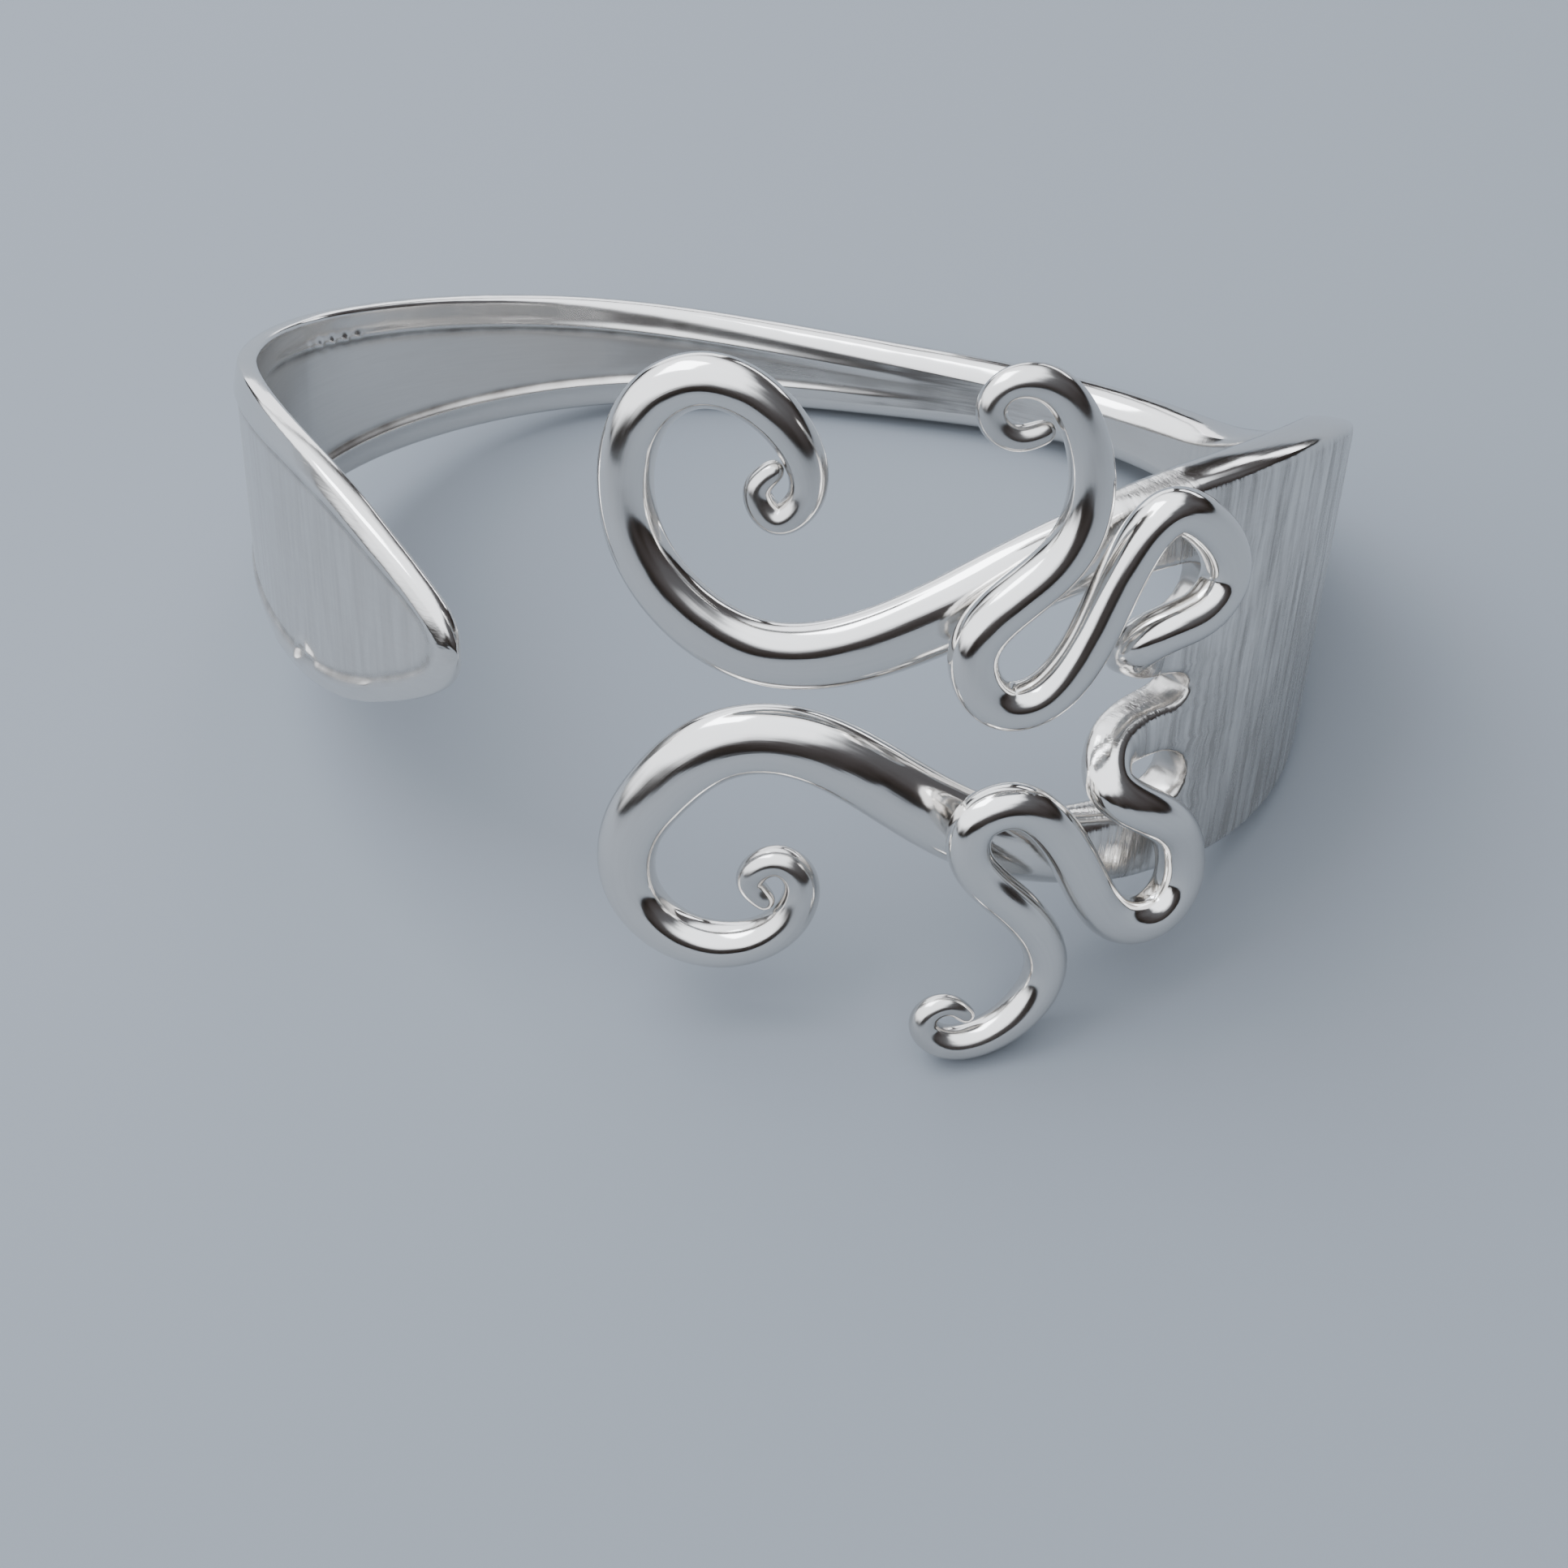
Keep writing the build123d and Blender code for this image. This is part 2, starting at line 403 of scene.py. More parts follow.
    def build(self, shell: Shell, bend: WristBend, section: Section, strip: float,
              start: float, root: np.ndarray) -> None:
        """Adds the tine to the shell, from its root ring to its round tip.

        Args:
            shell: the shell that holds the root ring.
            bend: the bend that carries the tine.
            section: the shared bar section.
            strip: length from the handle's tip to the tine roots.
            start: length past the roots where the root ring lies.
            root: vertex numbers of the root ring.
        """
        middles, runs, widths = self.route(bend, strip, start)
        sides = np.empty_like(runs)
        side = UP
        for number, run in enumerate(runs):
            side = unit(side - run * (side @ run))
            sides[number] = side
        outward = np.cross(sides, runs)
        steps = np.linalg.norm(np.diff(middles, axis=0), axis=1)
        length = steps[0] + np.concatenate([[0.0], np.cumsum(steps)])
        across, out = self.ring(widths, length, section)
        rings = middles[:, None] + across[..., None] * sides[:, None] + out[..., None] * outward[:, None]
        tip = np.radians(self.tip_angles)
        radius = widths[-1] / 2
        shrunk = (rings[-1] - middles[-1]) * np.cos(tip)[:, None, None] + middles[-1]
        round_end = shrunk + runs[-1] * (radius * np.sin(tip))[:, None, None]
        length = np.concatenate([length, length[-1] + radius * np.sin(tip)])
        across, out = (np.concatenate([part, part[-1:], part[-1:]]) for part in (across, out))
        root_up = self.at(np.array(start))[0]
        flow = np.stack([np.broadcast_to(strip + start + length[:, None], out.shape),
                         root_up + across, out], axis=-1)
        curl = self.curl_recess * ease(self.tip_share, 1.0, length / length[-1])
        # brush lines, with their painted streak tint, fade out along the tine's root
        brushed = 1.0 - ease(0.0, self.root_length, length)
        numbers = shell.add(np.concatenate([rings, round_end]), flow, recess=curl[:, None],
                            brushed=brushed[:, None])
        pole = shell.add((middles[-1] + runs[-1] * radius)[None], flow[-1, :1],
                         recess=self.curl_recess)
        shell.tube(np.concatenate([root[None], numbers]))
        shell.fan(numbers[-1], int(pole[0]))
        LOG.info("%s: %d rings", self.name, len(numbers))


@dataclass
class Border:
    """Raised border round one face of the handle: bevel, rounded band, groove, sunk panel.

    Lengths in millimetres, from the handle's tip or from the nearest edge.
    """

    face: Face
    start: tuple[float, float]
    end: tuple[float, float] = (60.0, 82.0)
    width: tuple[float, float] = (1.35, 1.95)
    bevel: float = 0.40
    bevel_power: float = 1.25
    drop: float = 0.17
    groove: float = 0.10
    lip: float = 0.0
    beads: tuple[float, float] | None = None
    bead_pitch: float = 1.15
    bead_rise: float = 0.18
    strokes: tuple[tuple[tuple[float, float], ...], ...] = ()
    stroke_rise: float = 0.22
    stroke_wide: float = 0.25

    def reach(self, along: np.ndarray) -> np.ndarray:
        """How fully the border is formed, 0 to 1, by the length along the handle."""
        return ease(*self.start, along) * (1.0 - ease(*self.end, along))

    def line(self, along: np.ndarray) -> np.ndarray:
        """Distance of the groove from the edge: closer near the handle's tip."""
        return self.width[0] + (self.width[1] - self.width[0]) * ease(7.0, 22.0, along)

    @staticmethod
    def gap(along: np.ndarray, inset: np.ndarray, stroke: np.ndarray) -> np.ndarray:
        """Distance to a line of straight pieces, each given by its ends."""
        here = np.stack([along, inset], axis=-1)
        gaps = []
        for start, end in zip(stroke, stroke[1:]):
            piece = end - start
            share = np.clip((here - start) @ piece / (piece @ piece), 0.0, 1.0)
            gaps.append(np.linalg.norm(here - start - share[..., None] * piece, axis=-1))
        return np.min(gaps, axis=0)

    def rise(self, along: np.ndarray, up: np.ndarray, inset: np.ndarray) -> np.ndarray:
        """Height of the relief, in millimetres.

        The bevel falls nearly straight from a crest just short of the groove to the edge. The
        panel is a smooth step down, the groove and the lip narrow bells, and the beads the
        positive part of a cosine along the lip. The strokes are narrow ridges near the lower edge.
        """
        line = self.line(along)
        crest = line - 0.15
        total = -self.bevel * np.clip(1.0 - inset / crest, 0.0, 1.0) ** self.bevel_power
        total = total - self.drop * ease(line - 0.20, line + 0.30, inset)
        total = total - self.groove * hump(inset, line + 0.10, 0.20)
        total = total + self.lip * hump(inset, line - 0.22, 0.26)
        if self.beads:
            zone = ease(self.beads[0], self.beads[0] + 1.0, along) * (
                1.0 - ease(self.beads[1] - 1.0, self.beads[1], along))
            wave = np.clip(np.cos(2.0 * math.pi * along / self.bead_pitch), 0.0, 1.0)
            bead = wave * hump(inset, line - 0.10, 0.32)
            total = total + self.bead_rise * zone * (up > 0.0) * bead
        for stroke in self.strokes:
            near = self.gap(along, inset, np.array(stroke))
            total = total + self.stroke_rise * (up < 0.0) * hump(near, 0.0, self.stroke_wide)
        return self.reach(along) * total

    def shade(self, along: np.ndarray, inset: np.ndarray) -> np.ndarray:
        """How much of the polishing mop's reach the groove loses, 0 to 1."""
        return self.reach(along) * hump(inset, self.line(along) + 0.12, 0.24)


@dataclass(frozen=True)
class StripRows:
    """The strip's rows: length, half width and thickness, and inset and height of each edge."""

    along: np.ndarray
    half: np.ndarray
    thick: np.ndarray
    inset: np.ndarray
    height: np.ndarray


@dataclass
class Blade:
    """Handle, neck and head as one strip, with the slot bottoms between the tine roots.

    Rows hold: length from the tip as a share of strip, half width as a share of head_half,
    thickness as a share of head_thick.
    """

    bend: WristBend
    section: Section
    tines: tuple[Tine, ...]
    strip: float = 131.5
    head_half: float = 11.5
    head_thick: float = 2.7
    root_share: float = 1.015
    rows: tuple[tuple[float, float, float], ...] = (
        (0.002, 0.080, 0.40), (0.006, 0.160, 0.46), (0.013, 0.240, 0.50),
        (0.025, 0.325, 0.52), (0.042, 0.420, 0.54), (0.065, 0.530, 0.56),
        (0.095, 0.620, 0.56), (0.130, 0.662, 0.56), (0.170, 0.655, 0.56),
        (0.220, 0.580, 0.56), (0.270, 0.510, 0.57), (0.320, 0.450, 0.59),
        (0.370, 0.395, 0.62), (0.420, 0.345, 0.66), (0.475, 0.296, 0.72),
        (0.530, 0.255, 0.79), (0.590, 0.224, 0.88), (0.650, 0.200, 1.00),
        (0.700, 0.190, 1.12), (0.745, 0.196, 1.20), (0.775, 0.222, 1.22),
        (0.825, 0.430, 1.14), (0.875, 0.725, 1.02), (0.925, 0.925, 1.00),
        (0.955, 0.975, 1.00), (0.985, 0.990, 1.00), (1.015, 0.975, 1.00),
    )
    border_lines: tuple[float, ...] = (
        0.30, 0.60, 0.90, 1.20, 1.45, 1.65, 1.80, 1.95, 2.10, 2.30, 2.60, 3.10,
    )
    columns: int = 34
    slot_fade: float = 8.0
    handle_end: float = 88.0
    column_zone: tuple[float, float] = (70.0, 120.0)
    panel_zone: tuple[float, float] = (45.0, 75.0)
    worn_zone: tuple[float, float] = (60.0, 90.0)
    # head zone of brush lines, whose darker tint is a painted streaky reflection
    brushed_zone: tuple[float, float] = (98.0, 112.0)
    full_relief: float = 1.35
    nose: float = 0.75
    corners: tuple[float, float] = (0.20, 0.42)
    borders: tuple[Border, ...] = (
        Border(Face.OUTSIDE, (-2.0, -1.0), strokes=(
            ((18.6, 0.95), (16.8, 1.00), (15.4, 1.15), (14.4, 1.55), (13.6, 1.95)),
            ((14.6, 1.25), (15.2, 1.75), (15.1, 2.25), (14.5, 2.55), (13.8, 2.45), (13.1, 2.0),
             (12.5, 1.5), (10.5, 1.28), (7.5, 1.10)),
        )),
        Border(Face.INSIDE, (29.0, 34.0), bevel=0.16, lip=0.13, beads=(36.5, 42.0)),
    )

    def lengths(self) -> np.ndarray:
        """Row places from tip to roots: closest on the tip, curl and beads, widest on the neck."""
        first, last = self.rows[0][0] * self.strip, self.root_share * self.strip
        tip = first + (6.0 - first) * np.linspace(0.0, 1.0, 16) ** 1.6
        steps = ((6.45, 11.4, 0.45), (11.5, 17.0, 0.20), (17.3, 36.0, 0.72), (36.4, 42.4, 0.20),
                 (42.8, 60.0, 1.0), (61.0, 100.0, 1.8))
        return np.concatenate([tip, *(np.arange(*step) for step in steps), np.linspace(101.0, last, 38)])

    def sizes(self, along: np.ndarray) -> tuple[np.ndarray, np.ndarray]:
        """Half width and thickness at lengths along the strip, rounded off at the very tip."""
        rows = np.array(self.rows) * [self.strip, self.head_half, self.head_thick]
        both = SmoothCurve(rows[:, 0], rows[:, 1:])(along)
        past = np.clip(along - rows[0, 0], 0.0, None)
        narrow = np.sqrt((past + 0.01) / (past + 0.20))
        thin = np.sqrt(1.0 - (1.0 - np.clip(past / self.nose, 0.15**2 / 2, 1.0)) ** 2)
        return both[..., 0] * narrow, both[..., 1] * thin

    def handle_columns(self, half: np.ndarray) -> np.ndarray:
        """Places across the handle: at set distances from both edges, even between them."""
        inset = np.array([0.0, *self.border_lines])[None] * np.minimum(1.0, half / 4.2)[:, None]
        inner = self.columns + 1 - 2 * inset.shape[1]
        middle = np.linspace(-1.0, 1.0, inner + 2)[1:-1]
        left = -half[:, None] + inset
        centre = (half[:, None] - inset[:, -1:]) * middle
        return np.concatenate([left, centre, -left[:, ::-1]], axis=1)

    def root_columns(self, inset: float) -> tuple[np.ndarray, np.ndarray]:
        """Places across at the tine roots, and how far back each lies in a slot's bottom.

        A slot's columns lie on a half circle from one tine's flank to the next one's.
        """
        across = np.zeros(self.columns + 1)
        back = np.zeros(self.columns + 1)
        root = (self.root_share - 1.0) * self.strip
        spans = [(tine.columns, *tine.at(root)[[0, 2]]) for tine in self.tines]
        for (first, last), middle, wide in spans:
            half = wide / 2 - inset
            across[first:last + 1] = middle + half * np.linspace(-1.0, 1.0, last - first + 1)
        for (before, after) in zip(spans, spans[1:]):
            first, last = before[0][1], after[0][0]
            angle = np.radians(np.linspace(-90.0, 90.0, last - first + 1))
            low, high = across[first], across[last]
            across[first:last + 1] = (low + high) / 2 + (high - low) / 2 * np.sin(angle)
            back[first:last + 1] = (high - low) / 2 * np.cos(angle)
        return across, back

    def edge_distance(self, along: np.ndarray, across: np.ndarray) -> np.ndarray:
        """Shortest way to the handle's outline, round its tip too."""
        outline = np.concatenate([np.linspace(0.3, 6.0, 90), np.arange(6.1, self.handle_end + 2.0, 0.25)])
        edge = self.sizes(outline)[0]
        gaps = np.hypot(along[..., None] - outline, np.abs(across)[..., None] - edge)
        tip = np.hypot(along - outline[0], np.clip(np.abs(across) - edge[0], 0.0, None))
        near = np.minimum(gaps.min(axis=-1), tip)
        beside = self.sizes(along)[0] - np.abs(across)
        return np.where(along < self.handle_end, near, beside)

    def corner(self, along: np.ndarray) -> np.ndarray:
        """Corner radius as a share of the thickness: round at the tip and neck, else crisp."""
        neck = ease(45.0, 80.0, along) * (1.0 - ease(92.0, 112.0, along))
        soft = np.maximum(neck, 1.0 - ease(2.0, 9.0, along))
        return self.corners[0] + (self.corners[1] - self.corners[0]) * soft

    def strip_rows(self) -> StripRows:
        """The rows from tip to roots, each with its rounded edge."""
        along = self.lengths()
        half, thick = self.sizes(along)
        inset, height = self.section.edge(thick, self.corner(along))
        return StripRows(along, half, thick, inset, height)

    def places(self, rows: StripRows, root: np.ndarray,
               back: np.ndarray) -> tuple[np.ndarray, np.ndarray]:
        """Length and place across of every point of the faces.

        Columns keep their distance from the handle's edges and pass into those of the roots,
        where they lie back in the bottoms of the slots.

        Args:
            rows: the strip's rows.
            root: places across at the roots.
            back: how far back each column lies at the roots.

        Returns:
            Length and place across, one row for each row of the strip.
        """
        inner = rows.half - rows.inset[:, 0]
        scaled = root[None] * (inner / inner[-1])[:, None]
        handle = self.handle_columns(inner)
        across = handle + ease(*self.column_zone, rows.along)[:, None] * (scaled - handle)
        fade = np.clip(1.0 - (rows.along[-1] - rows.along) / self.slot_fade, 0.0, 1.0) ** 2
        return rows.along[:, None] - fade[:, None] * back[None], across

    def faces(self, rows: StripRows, length: np.ndarray, across: np.ndarray,
              distance: np.ndarray) -> dict[Face, tuple[np.ndarray, np.ndarray, np.ndarray]]:
        """Both faces of the strip with their borders, shallower where the strip is thin.

        Args:
            rows: the strip's rows.
            length: length of each point along the strip.
            across: place of each point across the strip.
            distance: shortest way from each point to the outline.

        Returns:
            Height out of the strip's middle, shade and relief of each face.
        """
        faces = {}
        for face in Face:
            mine = [border for border in self.borders if border.face is face]
            relief = sum(border.rise(length, across, distance) for border in mine)
            relief = relief * np.minimum(1.0, rows.thick / self.full_relief)[:, None]
            shade = sum(border.shade(length, distance) for border in mine)
            faces[face] = face.value * (rows.thick[:, None] / 2 + relief), shade, relief
        return faces

    @staticmethod
    def edge_places(rows: StripRows, outside: np.ndarray, inside: np.ndarray,
                    side: float) -> np.ndarray:
        """Points of one rounded edge, moved by the relief of the faces that it joins.

        Args:
            rows: the strip's rows.
            outside: relief of the outside face along this edge.
            inside: relief of the inside face along this edge.
            side: 1 for the upper edge, -1 for the lower one.

        Returns:
            Places on the flat fork, from the outside face to the inside face.
        """
        share = rows.height[:, 1:-1] / rows.thick[:, None]
        sunk = outside[:, None] * (share + 0.5)
        raised = inside[:, None] * (share - 0.5)
        out = rows.height[:, 1:-1] + sunk + raised
        reach = side * (rows.half[:, None] - rows.inset[:, 1:-1])
        return np.stack([np.broadcast_to(rows.along[:, None], reach.shape), reach, out], axis=-1)

    def wear(self, length: np.ndarray, distance: np.ndarray,
             shades: tuple[np.ndarray, np.ndarray]) -> dict[str, np.ndarray]:
        """Surface values round the strip: outside face, one edge, inside face, other edge.

        Args:
            length: length of each point of a face along the strip.
            distance: shortest way from each point to the outline.
            shades: how much the mop misses on the outside and the inside face.

        Returns:
            The values named in SURFACE, one row for each row of the strip.
        """
        outer, inner = (border.line(length) for border in self.borders)
        satin = 0.55 + 0.45 * ease(inner - 0.1, inner + 0.4, distance)
        satin = satin * (1.0 - 0.6 * ease(*self.worn_zone, length))
        panel = ease(0.1, 0.6, distance - outer) * (1.0 - ease(*self.panel_zone, length))
        lined = ease(*self.brushed_zone, length)
        edge = np.zeros((len(length), self.section.levels - 1))
        values = {
            "satin": (0.30 * panel, satin),
            "recess": shades,
            # the brush lines' value also sets their darker tint, a painted streaky reflection
            "brushed": (np.maximum(lined, 0.32 * panel), lined),
        }
        return {name: np.concatenate([outside, edge, inside[:, ::-1], edge], axis=1)
                for name, (outside, inside) in values.items()}

    def build(self, shell: Shell) -> None:
        """Adds the strip to the shell, then every tine to the strip's last row."""
        rows = self.strip_rows()
        root, back = self.root_columns(float(rows.inset[-1, 0]))
        length, across = self.places(rows, root, back)
        distance = self.edge_distance(length, across)
        faces = self.faces(rows, length, across, distance)
        lift = self.lift(length)
        top, bottom = (np.stack([length, across, lift + faces[face][0]], axis=-1) for face in Face)
        outside, inside = (faces[face][2] for face in Face)
        upper = self.edge_places(rows, outside[:, -1], inside[:, -1], 1.0)
        lower = self.edge_places(rows, outside[:, 0], inside[:, 0], -1.0)
        flow = np.concatenate([top, upper, bottom[:, ::-1], lower[:, ::-1]], axis=1)
        points = self.bend.carry(flow[..., 0], flow[..., 1], flow[..., 2])
        values = self.wear(length, distance, tuple(faces[face][1] for face in Face))
        loops = shell.add(points, flow, **values)
        shell.tube(loops)
        self.close_tip(shell, loops[0], top[0], bottom[0])
        self.add_tines(shell, loops[-1], root, rows.inset[-1], rows.height[-1])

    def lift(self, length: np.ndarray) -> np.ndarray:
        """How far each column already follows its tine out of the strip's face."""
        middles = np.array([sum(tine.columns) / 2 for tine in self.tines])
        lifts = np.stack([tine.at(length - self.strip)[..., 1] for tine in self.tines], axis=-1)
        place = np.arange(self.columns + 1)
        right = np.clip(np.searchsorted(middles, place), 1, len(middles) - 1)
        share = np.clip((place - middles[right - 1]) / (middles[right] - middles[right - 1]), 0.0, 1.0)
        share = ease(0.3, 0.7, share)
        return lifts[:, place, right - 1] * (1.0 - share) + lifts[:, place, right] * share

    def parts_of(self, loop: np.ndarray) -> tuple[np.ndarray, np.ndarray, np.ndarray, np.ndarray]:
        """A loop's vertex numbers as outside face, right edge, inside face and left edge."""
        count, levels = self.columns + 1, self.section.levels - 1
        cuts = np.cumsum([count, levels, count])
        top, right, bottom, left = np.split(loop, cuts)
        return top, right, bottom[::-1], left[::-1]

    def close_tip(self, shell: Shell, loop: np.ndarray, top: np.ndarray, bottom: np.ndarray) -> None:
        """Closes the handle's tip with a wall between its two faces, bulged forward."""
        outside, right, inside, left = self.parts_of(loop)
        share = (np.arange(1, self.section.levels) / self.section.levels)[:, None, None]
        wall = top[None, 1:-1] + share * (bottom - top)[None, 1:-1]
        wall[..., 0] -= 0.02 * np.sin(math.pi * share[..., 0])
        fresh = shell.add(self.bend.carry(wall[..., 0], wall[..., 1], wall[..., 2]), wall)
        middle = np.concatenate([left[:, None], fresh, right[:, None]], axis=1)
        shell.sheet(np.concatenate([outside[None], middle, inside[None]])[::-1])

    def add_tines(self, shell: Shell, loop: np.ndarray, root: np.ndarray, inset: np.ndarray,
                  height: np.ndarray) -> None:
        """Adds the slot bottoms between the tines, then the tines themselves."""
        outside, right, inside, left = self.parts_of(loop)
        root_length = self.root_share * self.strip
        flanks: list[tuple[np.ndarray, np.ndarray]] = [(left, left)]
        for before, after in zip(self.tines, self.tines[1:]):
            first, last = before.columns[1], after.columns[0]
            angle = np.radians(np.linspace(-90.0, 90.0, last - first + 1))
            middle, radius = (root[first] + root[last]) / 2, (root[last] - root[first]) / 2
            reach = (radius - inset[0] + inset[1:-1])[:, None]
            length = root_length - reach * np.cos(angle)
            lift = self.lift(np.full((1, self.columns + 1), root_length))[0, first:last + 1]
            side, out = middle + reach * np.sin(angle), lift + height[1:-1, None]
            flow = np.stack(np.broadcast_arrays(length, side, out), axis=-1)
            fresh = shell.add(self.bend.carry(length, side, out), flow, recess=0.6)
            shell.sheet(np.concatenate([outside[None, first:last + 1], fresh, inside[None, first:last + 1]]))
            flanks.append((fresh[:, 0], fresh[:, -1]))
        flanks.append((right, right))
        for number, tine in enumerate(self.tines):
            first, last = tine.columns
            near, far = flanks[number][1], flanks[number + 1][0]
            ring = np.concatenate([outside[first:last + 1], far, inside[first:last + 1][::-1], near[::-1]])
            tine.build(shell, self.bend, self.section, self.strip,
                       root_length - self.strip, ring)


def make_tines() -> tuple[Tine, ...]:
    """The four tines from lowest to highest, with the columns of the strip they grow from."""
    lower_scroll = Tine("lower_scroll", (
        (-0.160, -0.300, 0, 1.08), (-0.060, -0.303, 0, 1.08), (0.060, -0.305, 0, 1.08),
        (0.340, -0.266, 0, 1.05), (0.500, -0.177, 0, 0.98), (0.728, -0.076, 0, 0.92),
        (0.803, -0.092, 0, 0.91), (0.920, -0.202, 0, 0.87), (0.961, -0.275, 0, 0.82),
        (0.960, -0.417, 0, 0.74), (0.863, -0.497, 0, 0.66), (0.687, -0.434, 0, 0.53),
        (0.680, -0.334, 0, 0.45), (0.713, -0.316, 0, 0.42), (0.757, -0.360, 0, 0.38),
        (0.733, -0.397, 0, 0.32),
    ), (0, 6))
    lower_serpentine = Tine("lower_serpentine", (
        (-0.160, -0.076, 0, 0.75), (-0.060, -0.075, 0, 0.75), (0.035, -0.073, 0.02, 0.74),
        (0.110, -0.074, 0.12, 0.70), (0.176, -0.088, 0.38, 0.66), (0.196, -0.121, 0.74, 0.65),
        (0.104, -0.204, 1.02, 0.64), (0.066, -0.275, 1.00, 0.63), (0.062, -0.348, 1.00, 0.63),
        (0.098, -0.396, 1.00, 0.63), (0.158, -0.392, 1.00, 0.62), (0.210, -0.331, 1.00, 0.62),
        (0.296, -0.170, 1.00, 0.60), (0.356, -0.127, 1.00, 0.59), (0.406, -0.149, 1.00, 0.58),
        (0.417, -0.205, 1.00, 0.56), (0.338, -0.326, 1.00, 0.55), (0.275, -0.462, 1.00, 0.56),
        (0.337, -0.583, 1.00, 0.52), (0.438, -0.602, 1.00, 0.44), (0.461, -0.569, 1.00, 0.39),
        (0.450, -0.537, 1.00, 0.34), (0.422, -0.529, 1.00, 0.29), (0.395, -0.550, 1.00, 0.25),
    ), (10, 15))
    upper_serpentine = Tine("upper_serpentine", (
        (-0.160, 0.076, 0, 0.75), (-0.060, 0.075, 0, 0.75), (0.030, 0.073, 0.02, 0.73),
        (0.100, 0.076, 0.10, 0.68), (0.160, 0.092, 0.36, 0.62), (0.180, 0.128, 0.72, 0.59),
        (0.146, 0.166, 0.96, 0.57), (0.100, 0.186, 1.02, 0.57), (0.066, 0.228, 1.00, 0.58),
        (0.118, 0.346, 1.00, 0.58), (0.168, 0.372, 1.00, 0.57), (0.232, 0.284, 1.00, 0.58),
        (0.295, 0.116, 1.00, 0.59), (0.338, 0.068, 1.00, 0.59), (0.388, 0.062, 1.00, 0.59),
        (0.437, 0.149, 1.00, 0.61), (0.324, 0.312, 1.00, 0.60), (0.314, 0.515, 1.00, 0.50),
        (0.389, 0.598, 1.00, 0.42), (0.427, 0.590, 1.00, 0.37), (0.444, 0.560, 1.00, 0.35),
        (0.433, 0.527, 1.00, 0.34), (0.403, 0.511, 1.00, 0.32), (0.372, 0.519, 1.00, 0.30),
    ), (19, 24))
    upper_scroll = Tine("upper_scroll", (
        (-0.160, 0.300, 0, 1.08), (-0.060, 0.302, 0, 1.08), (0.060, 0.300, 0, 1.08),
        (0.291, 0.250, 0, 1.07), (0.467, 0.161, 0, 0.99), (0.770, 0.087, 0, 0.87),
        (0.896, 0.167, 0, 0.79), (0.966, 0.294, 0, 0.69), (0.909, 0.513, 0, 0.67),
        (0.866, 0.533, 0, 0.65), (0.731, 0.478, 0, 0.56), (0.703, 0.337, 0, 0.42),
        (0.734, 0.319, 0, 0.39), (0.766, 0.364, 0, 0.34), (0.744, 0.397, 0, 0.29),
    ), (28, 34))
    return lower_scroll, lower_serpentine, upper_serpentine, upper_scroll


def add_node(tree: bpy.types.NodeTree, kind: str, inputs: dict | None = None, **settings) -> bpy.types.Node:
    """Adds a shader node with its settings and inputs.

    Args:
        tree: the node tree.
        kind: the node's type name.
        inputs: socket name or number to a value, or to another node's output socket.
        settings: the node's own properties.

    Returns:
        The new node.
    """
    node = tree.nodes.new(kind)
    for name, value in settings.items():
        setattr(node, name, value)
    for key, value in (inputs or {}).items():
        if isinstance(value, bpy.types.NodeSocket):
            tree.links.new(value, node.inputs[key])
        else:
            node.inputs[key].default_value = value
    return node


